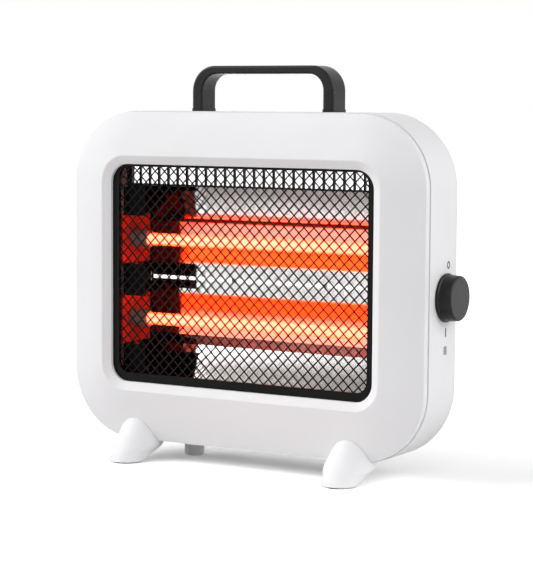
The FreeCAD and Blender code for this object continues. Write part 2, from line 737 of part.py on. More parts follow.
def heating_coil(height):
    """Resistance wire wound as one helix from terminal to terminal."""
    radius = (coil_diameter - coil_wire) / 2
    stop = tube_end() - cap_flange - fit_gap
    reach = stop - coil_wire / 2
    pitch = 2 * reach / coil_turns
    steep = sqrt(1 + (2 * pi * radius / pitch) ** 2)
    def point(turn):
        angle = 2 * pi * turn
        return V(-reach + pitch * turn, tube_depth + radius * cos(angle), height + radius * sin(angle))
    def heading(turn):
        angle = 2 * pi * turn
        lead = 2 * pi * radius / pitch
        return V(1, -lead * sin(angle), lead * cos(angle)) * (1 / steep)
    edges = []
    for half in range(2 * coil_turns):
        edges += biarc(point(half / 2), point((half + 1) / 2), heading(half / 2), heading((half + 1) / 2))
    path = Part.Wire(edges)
    ring = Part.Wire(Part.makeCircle(coil_wire / 2, point(0), heading(0)))
    per_turn = 48
    nearest = min((point(i / per_turn) - point(0)).Length
                  for i in range(per_turn // 2, 2 * per_turn))
    print("least gap between the turns of the coil: %.2f mm" % (nearest - coil_wire))
    return path.makePipeShell([ring], True, False)


def rotary_switch():
    """Switch body behind the side wall, with its bush through the wall and three blades."""
    start = body_inside - switch_length
    half = switch_width / 2
    body = block(V(start, knob_depth - half, knob_mid - half),
                 V(body_inside, knob_depth + half, knob_mid + half))
    body = body.makeFillet(switch_edge, [e for e in body.Edges if abs(e.tangentAt(0).x) > 0.5])
    axis = V(0, knob_depth, knob_mid)
    bush = rod(axis + V(body_inside, 0, 0), ALONG_X, wall + bush_stand, bush_diameter)
    pieces = [body, bush]
    for step in (-1, 0, 1):
        y = knob_depth + step * (blade_width + blade_sheet)
        z = knob_mid + (blade_spread / 2 if step else -blade_spread / 2)
        pieces.append(block(V(start - blade_length, y - blade_sheet / 2, z - blade_width / 2),
                            V(start + switch_edge, y + blade_sheet / 2, z + blade_width / 2)))
    seat = rod(axis + V(body_inside - switch_bore, 0, 0), ALONG_X,
               switch_bore + wall + bush_stand + overrun, spindle_diameter + 2 * run_gap)
    return joined(pieces).cut(seat)


def switch_nut():
    """Hexagon nut that clamps the bush to the side wall."""
    corner = nut_across / (2 * cos(pi / 6))
    start = V(side_face, knob_depth, knob_mid)
    points = [start + V(0, corner * cos(i * pi / 3), corner * sin(i * pi / 3)) for i in range(7)]
    nut = Part.Face(Part.makePolygon(points)).extrude(V(nut_thickness, 0, 0))
    hole = rod(start - ALONG_X * overrun, ALONG_X, nut_thickness + 2 * overrun, bush_diameter + 2 * fit_gap)
    return nut.cut(hole)


def spindle_form(grow, start, end):
    """D-shaped length of the spindle, grown by a clearance."""
    axis = V(start, knob_depth, knob_mid)
    form = rod(axis, ALONG_X, end - start, spindle_diameter + 2 * grow)
    flat = spindle_diameter / 2 - spindle_flat + grow
    return form.cut(block(V(start - overrun, knob_depth - spindle_diameter, knob_mid + flat),
                          V(end + overrun, knob_depth + spindle_diameter, knob_mid + 2 * spindle_diameter)))


def flat_start():
    """Where the spindle's flat begins, just outside the bush."""
    return side_face + bush_stand + knob_gap


def knob_face():
    """Outer face of the knob."""
    return side_face + knob_gap + knob_length


def switch_spindle():
    """Spindle from the switch's seat to the knob's hub, with a flat in the hub."""
    start = body_inside - switch_bore + fit_gap
    shank = rod(V(start, knob_depth, knob_mid), ALONG_X, flat_start() - start, spindle_diameter)
    return shank.fuse(spindle_form(0, flat_start(), knob_face() - spindle_end)).removeSplitter()


def control_knob():
    """Round knob with a skirt, a hollow back and a hub on the spindle's flat."""
    base = V(side_face + knob_gap, knob_depth, knob_mid)
    skirt = knob_skirt_diameter / 2
    grip = knob_diameter / 2
    face = knob_face_diameter / 2
    outline = [(0, 0), (0, skirt), (knob_skirt * skirt_edge_share, skirt), (knob_skirt, grip),
               (knob_length, face), (knob_length, 0)]
    knob = revolve_x(outline, base)
    rim = [e for e in knob.Edges if abs(e.CenterOfMass.x - base.x - knob_length) < same_place and e.Closed]
    knob = knob.makeFillet(knob_edge, rim)
    hollow = rod(base - ALONG_X * overrun, ALONG_X, knob_length - knob_wall + overrun,
                 knob_diameter - 4 * knob_wall)
    hub_start = flat_start() - base.x + fit_gap
    hub = rod(base + V(hub_start, 0, 0), ALONG_X, knob_length - knob_wall / 2 - hub_start, knob_hub)
    bore = spindle_form(run_gap, base.x, knob_face() - spindle_end + run_gap)
    return joined([knob.cut(hollow), hub]).cut(bore)


def handle():
    """Strap handle bent over the body's top, with a thin collar at each leg and pilot holes."""
    def arch(width, rise, corner, drop):
        low = body_top - drop
        high = body_top + rise
        half = width / 2
        slope = corner * (1 - sqrt(0.5))
        left = Part.Arc(V(-half, 0, high - corner), V(-half + slope, 0, high - slope),
                        V(-half + corner, 0, high))
        right = Part.Arc(V(half - corner, 0, high), V(half - slope, 0, high - slope),
                         V(half, 0, high - corner))
        return Part.Wire([Part.makeLine(V(-half, 0, low), left.StartPoint), left.toShape(),
                          Part.makeLine(left.EndPoint, right.StartPoint), right.toShape(),
                          Part.makeLine(right.EndPoint, V(half, 0, low)),
                          Part.makeLine(V(half, 0, low), V(-half, 0, low))])
    start = handle_depth - handle_strap / 2
    outside = prism(arch(handle_width, handle_rise, handle_outer_corner, 0), handle_strap)
    inside = prism(arch(handle_width - 2 * handle_leg, handle_rise - handle_bar,
                        handle_inner_corner, overrun), handle_strap)
    strap = outside.cut(inside)
    long_edges = flat_edges(strap, 0) + flat_edges(strap, handle_strap)
    raised = [e for e in long_edges if e.BoundBox.ZMax > body_top + handle_edge]
    strap = strap.makeFillet(handle_edge, raised)
    strap.translate(V(0, start, 0))
    pieces = [strap]
    holes = []
    for x, y in handle_screw_places():
        half = V(handle_leg / 2 + handle_collar, handle_strap / 2 + handle_collar, 0)
        collar = block(V(x, y, body_top) - half, V(x, y, body_top + handle_collar_height) + half)
        upright = [e for e in collar.Edges if abs(e.tangentAt(0).z) > 0.5]
        pieces.append(collar.makeFillet(handle_edge, upright))
        holes.append(rod(V(x, y, body_top - overrun), ALONG_Z, overrun + handle_screw_length,
                         2 * screw_hole))
    return joined(pieces).cut(holes)


def bell(x, grow):
    """Leaning bell of a front foot, grown sideways."""
    total = foot_height + foot_rise - pad_stand
    rings = []
    for height_share, radius_share, lean_share in bell_shares:
        radius = foot_radius * radius_share
        y = -toe_reach + foot_lip + toe_lean * lean_share + radius
        middle = V(x, y, pad_stand + total * height_share)
        rings.append(Part.Wire(Part.makeCircle(radius + grow, middle, ALONG_Z)))
    return Part.makeLoft(rings, True, False)


def above_sole(x, lift):
    """The space above the underside of a front foot: flat under the toe, then arched up to the tail."""
    def at(y, z):
        return V(x - 2 * foot_radius, y, z + lift)
    front = -toe_reach - overrun
    top = foot_height + foot_rise + overrun
    heel = at(-toe_reach + sole_length, pad_stand)
    tail = at(tail_reach, tail_height)
    arch = Part.Arc(heel, (heel + tail) * 0.5 + V(0, 0, arch_sag), tail)
    corners = [tail, at(tail_reach, top), at(front, top), at(front, pad_stand), heel]
    lines = [Part.makeLine(a, b) for a, b in zip(corners, corners[1:])]
    return Part.Face(Part.Wire(lines + [arch.toShape()])).extrude(V(4 * foot_radius, 0, 0))


def foot(side):
    """Moulded front foot: a leaning bell with a lip along its lower edge, and a tail under the body."""
    x = side * foot_spread / 2
    web = block(V(x - foot_web / 2, 0, pad_stand), V(x + foot_web / 2, tail_reach, foot_height + wall))
    corners = [e for e in web.Edges if abs(e.tangentAt(0).z) > 0.5 and e.CenterOfMass.y > 0]
    web = web.makeFillet(web_corner, corners)
    above = above_sole(x, 0)
    lip = bell(x, foot_lip).common(above.cut(above_sole(x, foot_lip_height)))
    cuts = envelope()
    for px, y in foot_screw_places():
        seat = foot_screw_seat()
        cuts.append(rod(V(px, y, seat - overrun), ALONG_Z, foot_height, 2 * screw_hole))
        cuts.append(rod(V(px, y, -overrun), ALONG_Z, seat + overrun, screw_head + 2 * screw_slack))
    for px, y in pad_places():
        cuts.append(rod(V(px, y, -overrun), ALONG_Z, overrun + pad_thickness + fit_gap,
                        2 * (pad_radius + fit_gap)))
    whole = joined([bell(x, 0).fuse(web).common(above), lip]).cut(cuts)
    return max(whole.Solids, key=lambda solid: solid.Volume)


def foot_screw_seat():
    """Height of the seats of the foot screws."""
    return foot_height - boss_wall


def rear_feet():
    """Rubber feet under the body's rear, each on one screw."""
    feet = []
    for x, y in rear_foot_places():
        foot = rod(V(x, y, 0), ALONG_Z, foot_height - fit_gap, 2 * rear_foot_radius)
        lower = min(foot.Edges, key=lambda e: e.CenterOfMass.z)
        foot = foot.makeFillet(rear_foot_edge, [lower])
        shank = rod(V(x, y, 0), ALONG_Z, foot_height + overrun, 2 * screw_hole)
        head = rod(V(x, y, -overrun), ALONG_Z, foot_screw_seat() + overrun, screw_head + 2 * screw_slack)
        feet.append(foot.cut([shank, head]))
    return Part.makeCompound(feet)


def pad_places():
    """Middles of the pads under the toes, as (x, y)."""
    return [(side * foot_spread / 2, pad_set - toe_reach) for side in (-1, 1)]


def foot_pads():
    """Rubber pads set into the soles of the front feet."""
    return Part.makeCompound([rod(V(x, y, 0), ALONG_Z, pad_thickness, 2 * pad_radius)
                              for x, y in pad_places()])


def cutout_screw_places():
    """Screws of the thermal cut-out on the left end plate, as (y, z)."""
    return [(cutout_depth + step * cutout_screw_spread / 2, cutout_mid) for step in (-1, 1)]


def thermal_cutout():
    """Bimetal cut-out on the left end plate: flange, can and two blades."""
    start = unit_length / 2 + plate_sheet
    low = V(start, cutout_depth - cutout_flange_width / 2, cutout_mid - cutout_flange_height / 2)
    flange = block(low, low + V(cutout_flange, cutout_flange_width, cutout_flange_height))
    can = rod(V(start, cutout_depth, cutout_mid), ALONG_X, cutout_flange + cutout_height, cutout_diameter)
    top = start + cutout_flange + cutout_height
    pieces = [flange, can]
    for step in (-1, 1):
        y = cutout_depth + step * cutout_diameter / 4
        pieces.append(block(V(top - cutout_flange, y - blade_sheet / 2, cutout_mid - blade_width / 2),
                            V(top + blade_length, y + blade_sheet / 2, cutout_mid + blade_width / 2)))
    holes = [rod(V(start - overrun, y, z), ALONG_X, 2 * overrun, 2 * screw_hole)
             for y, z in cutout_screw_places()]
    return mirrored(joined(pieces).cut(holes), -1)


def cutout_screws():
    """Screws that hold the cut-out on its plate."""
    seat = -(unit_length / 2 + plate_sheet + cutout_flange)
    return Part.makeCompound([screw(V(seat, y, z), ALONG_X, plate_sheet + cutout_flange + screw_head_height)
                              for y, z in cutout_screw_places()])


def block_mid():
    """Height of the terminal block's middle."""
    return foot_height + block_rise


def block_screw_places():
    """Screws of the terminal block, as (x, z)."""
    pitch = block_width / block_wells
    return [(-block_side + step * pitch / 2, block_mid()) for step in (-1, 1)]


def terminal_block():
    """Terminal block on the rear wall, with a row of screw wells."""
    half = block_width / 2
    start = rear_inside - block_depth
    body = block(V(-block_side - half, start, block_mid() - block_height / 2),
                 V(-block_side + half, rear_inside, block_mid() + block_height / 2))
    pitch = block_width / block_wells
    cuts = []
    for i in range(block_wells):
        x = -block_side + (i - (block_wells - 1) / 2) * pitch
        for level in (-1, 1):
            z = block_mid() + level * block_height * well_share
            cuts.append(rod(V(x, start - overrun, z), ALONG_Y, overrun + block_well_depth,
                            block_well_diameter))
    for x, z in block_screw_places():
        cuts.append(rod(V(x, start - overrun, z), ALONG_Y, block_depth + 2 * overrun, 2 * screw_hole))
    return body.cut(cuts)


def block_screws():
    """Screws of the terminal block."""
    seat = rear_inside - block_depth
    return Part.makeCompound([screw(V(x, seat, z), ALONG_Y, block_depth + wall / 2 - fit_gap)
                              for x, z in block_screw_places()])


def tip_screw_places():
    """Screws of the tip-over switch, as (x, y)."""
    across = (tip_width + tip_flange) / 2
    return [(tip_side + x * across, half_depth) for x in (-1, 1)]


def tip_over_switch():
    """Closed ball switch that opens when the heater falls, on two flanges on the shell's floor."""
    half = V(tip_width / 2, tip_depth / 2, 0)
    base = V(tip_side, half_depth, floor_inside)
    body = block(base - half, base + half + V(0, 0, tip_height))
    body = body.makeFillet(tip_edge, [e for e in body.Edges if e.CenterOfMass.z > floor_inside])
    reach = V(tip_width / 2 + tip_flange, tip_depth / 3, 0)
    flange = block(base - reach, base + reach + V(0, 0, tip_flange_sheet))
    holes = [rod(V(x, y, floor_inside - overrun), ALONG_Z, 2 * overrun, 2 * screw_hole)
             for x, y in tip_screw_places()]
    return joined([body, flange]).cut(holes)


def tip_screws():
    """Screws of the tip-over switch."""
    seat = floor_inside + tip_flange_sheet
    return Part.makeCompound([screw(V(x, y, seat), -ALONG_Z, tip_flange_sheet + wall / 2 - fit_gap)
                              for x, y in tip_screw_places()])


def cord_gland():
    """Bushing for the mains lead in the rear wall, with a flange on each side."""
    z = foot_height + gland_rise
    start = V(-gland_side, rear_inside - gland_flange_thickness, z)
    neck = rod(start, ALONG_Y, wall + 2 * gland_flange_thickness, gland_diameter)
    wide = gland_diameter + 2 * gland_flange
    inner = rod(start, ALONG_Y, gland_flange_thickness, wide)
    outer = rod(V(-gland_side, body_depth, z), ALONG_Y, gland_flange_thickness, wide)
    bore = rod(V(-gland_side, rear_inside - overrun, z), ALONG_Y, wall + 2 * overrun, gland_bore)
    return joined([neck, inner, outer]).cut(bore)


def case_screws():
    """Long screws from the rear that hold bezel and shell together."""
    return Part.makeCompound([screw(V(x, case_seat, z), -ALONG_Y, case_screw_length)
                              for x, z in case_screw_places()])


def guard_screws():
    """Screws whose heads hold the guard's rim against the bezel."""
    seat = return_depth + rim_thickness
    return Part.makeCompound([screw(V(x, seat, z), -ALONG_Y, guard_screw_length - fit_gap, guard_head)
                              for x, z in guard_screw_places()])


def frame_screws():
    """Screws that hold the end plates on the shell."""
    return Part.makeCompound([screw(V(x, plate_back - plate_sheet, z), ALONG_Y, frame_screw_length)
                              for x, z in frame_screw_places()])


def handle_screws():
    """Screws up into the handle's legs."""
    return Part.makeCompound([screw(V(x, y, roof_inside), ALONG_Z, handle_screw_length)
                              for x, y in handle_screw_places()])


def foot_screws():
    """Screws up through front and rear feet."""
    return Part.makeCompound([screw(V(x, y, foot_screw_seat()), ALONG_Z, foot_screw_length - fit_gap)
                              for x, y in foot_screw_places()])


def build():
    """Every node of the heater by name."""
    nodes = {
        "front_bezel": front_bezel(),
        "rear_shell": rear_shell(),
        "rear_vent_grille": rear_vent_grille(),
        "wire_guard": wire_guard(),
        "reflector": reflector(),
        "bracket_rivets": bracket_rivets(),
        "rotary_switch": rotary_switch(),
        "switch_nut": switch_nut(),
        "switch_spindle": switch_spindle(),
        "control_knob": control_knob(),
        "handle": handle(),
        "foot_pads": foot_pads(),
        "rear_feet": rear_feet(),
        "thermal_cutout": thermal_cutout(),
        "cutout_screws": cutout_screws(),
        "terminal_block": terminal_block(),
        "block_screws": block_screws(),
        "tip_over_switch": tip_over_switch(),
        "tip_screws": tip_screws(),
        "cord_gland": cord_gland(),
        "case_screws": case_screws(),
        "guard_screws": guard_screws(),
        "frame_screws": frame_screws(),
        "handle_screws": handle_screws(),
        "foot_screws": foot_screws(),
    }
    for name, side in sides.items():
        nodes[name + "_end_plate"] = end_plate(side)
        nodes[name + "_foot"] = foot(side)
    for level, height in tube_heights.items():
        nodes[level + "_quartz_tube"] = quartz_tube(height)
        nodes[level + "_heating_coil"] = heating_coil(height)
        for name, side in sides.items():
            nodes[level + "_" + name + "_end_cap"] = end_cap(side, height)
            nodes[level + "_" + name + "_bracket"] = tube_bracket(side, height)
            nodes[level + "_" + name + "_terminal"] = tube_terminal(side, height)
    return nodes


os.makedirs("parts", exist_ok=True)
for node, shape in build().items():
    shape.translate(-origin)
    shape.exportStep("parts/" + node + ".step")
    facts = (node, len(shape.Solids), shape.isValid(), shape.Volume)
    print("%-24s solids %d  valid %s  volume %.0f" % facts)
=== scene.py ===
# %% [markdown]
# # Dressing a quartz heater
# The construction comes packed from the CAD model: housing, guard, reflector, tubes, knob, handle and
# feet, in metres, with +X to the right, +Y to the rear and +Z up. This lesson gives every piece its
# finish, adds what is too fine for the solids, and lights the heater as it stands in the photograph,
# with both tubes glowing.

# %% Load the frame
import math

import bpy
import numpy as np
from mathutils import Matrix, Vector


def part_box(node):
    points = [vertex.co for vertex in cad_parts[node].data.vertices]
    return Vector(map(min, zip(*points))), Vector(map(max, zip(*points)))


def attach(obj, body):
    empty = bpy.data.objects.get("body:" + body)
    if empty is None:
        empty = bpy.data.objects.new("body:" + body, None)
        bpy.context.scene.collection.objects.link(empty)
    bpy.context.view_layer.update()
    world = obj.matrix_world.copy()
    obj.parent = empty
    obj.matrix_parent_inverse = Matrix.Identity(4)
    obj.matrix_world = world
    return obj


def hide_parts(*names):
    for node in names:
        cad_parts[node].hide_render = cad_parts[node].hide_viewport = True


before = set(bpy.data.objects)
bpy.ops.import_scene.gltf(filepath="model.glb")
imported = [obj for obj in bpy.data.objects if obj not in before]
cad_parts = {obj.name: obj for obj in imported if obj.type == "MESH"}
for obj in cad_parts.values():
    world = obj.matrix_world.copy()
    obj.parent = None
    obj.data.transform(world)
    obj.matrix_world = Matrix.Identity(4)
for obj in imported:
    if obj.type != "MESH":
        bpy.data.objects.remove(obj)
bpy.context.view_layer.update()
MM = 0.001

# %% [markdown]
# ## Camera
# The photograph was taken from the heater's right, a little above its top, with a long lens: the
# sides hardly converge. A camera can be aimed with a constraint, but its place and its three angles
# say exactly the same and stay readable, so the matrix is worked out from them. The focal length
# follows from the picture's longer side.

# %% Camera at the photograph's viewing angle
picture_height = 575                                # pixels
sensor = 36.0                                       # millimetres along the picture's longer side
focal_pixels = 1992.0
camera_place = Vector((804.8, -1328.7, 287.6)) * MM
yaw, pitch, roll = (math.radians(angle) for angle in (30.97, 5.32, 0.35))


def camera_matrix(place, yaw, pitch, roll):
    """Columns are the camera's right, up and backward: turned by yaw, tipped by pitch, then rolled."""
    level_share, drop = math.cos(pitch), math.sin(pitch)
    ahead = Vector((-math.sin(yaw) * level_share, math.cos(yaw) * level_share, -drop))
    level = Vector((math.cos(yaw), math.sin(yaw), 0))
    upright = level.cross(ahead)
    right = level * math.cos(roll) + upright * math.sin(roll)
    up = upright * math.cos(roll) - level * math.sin(roll)
    matrix = Matrix((right, up, -ahead)).transposed().to_4x4()
    matrix.translation = place
    return matrix


scene = bpy.context.scene
camera = bpy.data.objects.new("camera", bpy.data.cameras.new("camera"))
camera.data.sensor_width = sensor
camera.data.lens = focal_pixels / picture_height * sensor
camera.data.clip_end = 50
camera.matrix_world = camera_matrix(camera_place, yaw, pitch, roll)
scene.collection.objects.link(camera)
scene.camera = camera
print("lens %.1f mm" % camera.data.lens)

# %% [markdown]
# ## Helpers for materials
# A material is a small tree of nodes. Colours are written as they look on a screen, in sRGB hex, and
# one function turns them to the linear values that a renderer adds up. One function adds a node with
# its settings and links, so that each material below reads as a list of what it is made from.

# %% Colour and node helpers


def linear(code, share=1.0):
    """sRGB hex to linear, times a share: v / 12.92 when low, else ((v + 0.055) / 1.055) ** 2.4."""
    value = np.array([int(code[i:i + 2], 16) for i in (1, 3, 5)]) / 255
    low = value / 12.92
    high = ((value + 0.055) / 1.055) ** 2.4
    return (*(share * np.where(value <= 0.04045, low, high)).tolist(), 1.0)


def add(tree, kind, inputs=None, **settings):
    """Adds one node: settings are its own options, inputs are values for its sockets or sockets to link."""
    made = tree.nodes.new(kind)
    for name, value in settings.items():
        setattr(made, name, value)
    for key, value in (inputs or {}).items():
        if isinstance(value, bpy.types.NodeSocket):
            tree.links.new(value, made.inputs[key])
        else:
            made.inputs[key].default_value = value
    return made


def start_material(name):
    """An empty material and its tree of nodes."""
    material = bpy.data.materials.new(name)
    material.use_nodes = True
    material.node_tree.nodes.clear()
    return material, material.node_tree


def per_metre(millimetres):
    """Texture scale that gives a pattern of this size on Object coordinates, which are in metres."""
    return 1 / (millimetres * MM)


housing_white = "#F1F1F3"
print("white ABS in linear light:", [round(v, 3) for v in linear(housing_white)[:3]])

# %% [markdown]
# ## Moulded plastics
# The housing is injection moulded in white ABS: a satin skin with a very fine eroded grain from the
# tool, and slow changes in gloss where the melt flowed. Handle, knob and vent strip are the same
# process in black. A plain shader would look like chalk or like glass, so a grain drives a slight
# bump and a broad noise moves the roughness.

# %% Moulded plastic, white and black


def moulded_plastic(name, colour, roughness, grain, depth, ior=1.52, cloud_size=40.0, gloss_swing=0.06):
    """Satin plastic: a grain of the given size in mm as bump, and broad clouds of other gloss and tone."""
    material, tree = start_material(name)
    place = add(tree, "ShaderNodeTexCoord").outputs["Object"]
    skin = add(tree, "ShaderNodeTexNoise", {"Vector": place, "Scale": per_metre(grain), "Detail": 2.0})
    clouds = add(tree, "ShaderNodeTexNoise", {
        "Vector": place, "Scale": per_metre(cloud_size), "Detail": 3.0})
    flow = clouds.outputs["Fac"]
    rough = add(tree, "ShaderNodeMapRange", {
        "Value": flow, "From Min": 0.3, "From Max": 0.7,
        "To Min": roughness - gloss_swing, "To Max": roughness + gloss_swing})
    tone = add(tree, "ShaderNodeMixRGB", {
        "Fac": flow, "Color1": linear(colour), "Color2": linear(colour, 0.96)})
    bump = add(tree, "ShaderNodeBump", {
        "Height": skin.outputs["Fac"], "Distance": depth * MM, "Strength": 0.5})
    shader = add(tree, "ShaderNodeBsdfPrincipled", {
        "Base Color": tone.outputs["Color"], "IOR": ior, "Roughness": rough.outputs["Result"],
        "Normal": bump.outputs["Normal"]})
    add(tree, "ShaderNodeOutputMaterial", {"Surface": shader.outputs["BSDF"]})
    return material


white_abs = moulded_plastic("white_abs_satin", housing_white, roughness=0.48, grain=0.9, depth=0.02)
black_abs = moulded_plastic("black_abs_satin", "#0A0B0C", roughness=0.3, grain=0.7, depth=0.03, ior=1.32)
phenolic = moulded_plastic("brown_phenolic", "#2A211C", roughness=0.32, grain=1.6, depth=0.03)
nylon = moulded_plastic("natural_nylon", "#DAD6C6", roughness=0.42, grain=1.2, depth=0.03)
rubber = moulded_plastic("black_rubber", "#1B1B1C", roughness=0.75, grain=1.0, depth=0.08)
pale_rubber = moulded_plastic("pale_rubber", "#F4F4F2", roughness=0.8, grain=1.0, depth=0.08)
print("plastics:", white_abs.name, black_abs.name, phenolic.name, nylon.name, rubber.name, pale_rubber.name)

# %% [markdown]
# ## Black enamel
# The guard and the end plates are coated with heat-proof black enamel, baked on. The coat shrinks a
# little as it sets and keeps a faint orange peel, so its highlights are soft. The plates stand close
# to the tubes, so their coat is more matt and they stay dark. One function makes both, with the gloss
# set by the IOR.

# %% Black enamel


def black_enamel(name, ior):
    """Baked black coat: deep colour, soft gloss, a slight orange-peel bump of about 1.5 mm."""
    material, tree = start_material(name)
    place = add(tree, "ShaderNodeTexCoord").outputs["Object"]
    noise = add(tree, "ShaderNodeTexNoise", {"Vector": place, "Scale": per_metre(1.5), "Detail": 2.0})
    peel = noise.outputs["Fac"]
    rough = add(tree, "ShaderNodeMapRange", {"Value": peel, "To Min": 0.3, "To Max": 0.5})
    bump = add(tree, "ShaderNodeBump", {"Height": peel, "Distance": 0.03 * MM, "Strength": 0.5})
    shader = add(tree, "ShaderNodeBsdfPrincipled", {
        "Base Color": linear("#040404"), "IOR": ior, "Roughness": rough.outputs["Result"],
        "Normal": bump.outputs["Normal"]})
    add(tree, "ShaderNodeOutputMaterial", {"Surface": shader.outputs["BSDF"]})
    return material


enamel = black_enamel("heatproof_black_enamel", ior=1.2)
matt_enamel = black_enamel("matt_black_enamel", ior=1.12)
print("enamels:", enamel.name, matt_enamel.name)

# %% [markdown]
# ## Polished sheet
# The reflector is a folded aluminium sheet, rolled and polished: nearly a mirror, with long streaks.
# A single mirror shader shows every wire of the guard twice, so two shaders are mixed, a sharp one
# and a broad one, and the broad one takes over in the troughs. Colours follow the distance from the
# height between the tubes, and they are painted light: painted orange reflections of the glowing tubes
# in the troughs and on the fold, painted darker reflections on the facet and on the edges of the panels,
# and a painted dark reflection at the left end. They were tuned to the photograph, as was the dark left
# end.

# %% Polished aluminium


def polished_aluminium(middle):
    """Streaks of 7 by 160 mm along X move the roughness and tip the normal. Ramps between two places in mm
    mark where a zone starts, and a zone is the ramp at its start less the ramp at its end. The zones'
    colours are painted light: a painted orange reflection of the glow on the inner halves of the troughs,
    a pale salmon one with more haze on the outer ones, a painted orange-red glow on the fold, painted
    darker reflections on the facet above them and on the edges of the panels, and a painted dark
    reflection at the left end that reaches further along the panels."""
    material, tree = start_material("polished_aluminium_sheet")
    place = add(tree, "ShaderNodeTexCoord").outputs["Object"]
    streak_scale = (per_metre(160.0), per_metre(7.0), per_metre(7.0))
    along = add(tree, "ShaderNodeMapping", {"Vector": place, "Scale": streak_scale})
    noise = add(tree, "ShaderNodeTexNoise", {
        "Vector": along.outputs["Vector"], "Scale": 1.0, "Detail": 3.0})
    streaks = noise.outputs["Fac"]
    bump = add(tree, "ShaderNodeBump", {"Height": streaks, "Distance": 0.05 * MM, "Strength": 0.3})
    shifted = add(tree, "ShaderNodeVectorMath", {0: place, 1: middle}, operation="SUBTRACT")
    across, _, above = add(tree, "ShaderNodeSeparateXYZ", {"Vector": shifted.outputs["Vector"]}).outputs
    off = add(tree, "ShaderNodeMath", {0: above}, operation="ABSOLUTE").outputs[0]
    panel_start, panel_full, panel_reach = 48.0 * MM, 50.0 * MM, 16.0 * MM
    panel = add(tree, "ShaderNodeMapRange", {"Value": off, "From Min": panel_start, "From Max": panel_full})
    reach = add(tree, "ShaderNodeMath", {0: panel.outputs["Result"], 1: -panel_reach, 2: across},
                operation="MULTIPLY_ADD").outputs[0]
    # Zones of painted light on the sheet: glow reflections, darker reflections and a dark left end.
    ramps = {"painted_glow": (off, 11.0, 14.0), "haze": (off, 24.0, 38.0), "trough end": (off, 45.0, 47.5),
             "painted_panel_shade": (off, 52.0, 74.0), "painted_fold_glow": (above, 44.5, 46.0), "painted_facet_shade": (above, 48.5, 49.5),
             "facet end": (above, 52.0, 53.0), "painted_dark_reflection": (reach, -83.0, -86.0),
             "blurred": (across, -64.0, -50.0)}
    zones = {}
    for name, (where, first, last) in ramps.items():
        ramp = add(tree, "ShaderNodeMapRange", {
            "Value": where, "From Min": first * MM, "From Max": last * MM}, interpolation_type="SMOOTHSTEP")
        zones[name] = ramp.outputs["Result"]
    for name, end in (("painted_glow", "haze"), ("haze", "trough end"),
                      ("painted_fold_glow", "painted_facet_shade"), ("painted_facet_shade", "facet end")):
        band = add(tree, "ShaderNodeMath", {0: zones[name], 1: zones[end]}, operation="SUBTRACT")
        zones[name] = band.outputs[0]
    tone = linear("#F4F3F2")
    # Painted light: glow reflections in the troughs and on the fold, darker reflections, a dark left end.
    for name, colour in (("painted_glow", "#F27C34"), ("haze", "#E6CDBE"), ("painted_panel_shade", "#A09C99"),
                         ("painted_fold_glow", "#C8502E"), ("painted_facet_shade", "#A0948E"), ("painted_dark_reflection", "#5A2018")):
        mixed = add(tree, "ShaderNodeMixRGB", {
            "Fac": zones[name], "Color1": tone, "Color2": linear(colour)})
        tone = mixed.outputs["Color"]
    middle_blur = 0.09
    lobes = []
    for smooth, coarse in ((0.04, 0.09), (0.36, 0.46)):
        gloss = add(tree, "ShaderNodeMapRange", {"Value": streaks, "To Min": smooth, "To Max": coarse})
        rough = add(tree, "ShaderNodeMath", {
            0: zones["blurred"], 1: middle_blur, 2: gloss.outputs["Result"]}, operation="MULTIPLY_ADD")
        lobe = add(tree, "ShaderNodeBsdfPrincipled", {
            "Base Color": tone, "Metallic": 1.0, "Roughness": rough.outputs[0],
            "Normal": bump.outputs["Normal"]})
        lobes.append(lobe.outputs["BSDF"])
    painted_glow_share, haze_share = 0.5, 0.8                 # how far the broad shader takes over
    share = add(tree, "ShaderNodeMath", {0: zones["painted_glow"], 1: painted_glow_share}, operation="MULTIPLY")
    share = add(tree, "ShaderNodeMath", {0: zones["haze"], 1: haze_share, 2: share.outputs[0]},
                operation="MULTIPLY_ADD")
    both = add(tree, "ShaderNodeMixShader", {"Fac": share.outputs[0], 1: lobes[0], 2: lobes[1]})
    add(tree, "ShaderNodeOutputMaterial", {"Surface": both.outputs["Shader"]})
    return material


tube_boxes = [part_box(level + "_quartz_tube") for level in ("upper", "lower")]
sheet_middle = np.mean(tube_boxes, axis=(0, 1)).tolist()
aluminium = polished_aluminium(sheet_middle)
print("reflector:", aluminium.name, "about the height of %.1f mm" % (sheet_middle[2] / MM))

# %% [markdown]
# ## Plated metals
# Screws, nut and spindle are zinc plated, a pale metal whose crystals differ a little in tone. The
# brackets round the tube ends are given a strong red: a little of it is the oxide of steel that has
# been in the heat, most of it is painted red glow from the tubes. The terminals are brass. The
# crystals are drawn coarser than real ones, so that they show.

# %% Plated metals


def plated_metal(name, colour, roughness, crystal, metallic=1.0):
    """Plated metal: crystals of the given size in mm change tone and roughness from grain to grain."""
    material, tree = start_material(name)
    place = add(tree, "ShaderNodeTexCoord").outputs["Object"]
    cells = add(tree, "ShaderNodeTexVoronoi", {"Vector": place, "Scale": per_metre(crystal)})
    grains = cells.outputs["Distance"]
    tone = add(tree, "ShaderNodeMixRGB", {
        "Fac": grains, "Color1": linear(colour), "Color2": linear(colour, 0.8)})
    rough = add(tree, "ShaderNodeMapRange", {
        "Value": grains, "To Min": roughness - 0.05, "To Max": roughness + 0.08})
    shader = add(tree, "ShaderNodeBsdfPrincipled", {
        "Base Color": tone.outputs["Color"], "Metallic": metallic, "Roughness": rough.outputs["Result"]})
    add(tree, "ShaderNodeOutputMaterial", {"Surface": shader.outputs["BSDF"]})
    return material


zinc_steel = plated_metal("zinc_plated_steel", "#B9BABD", roughness=0.32, crystal=2.0)
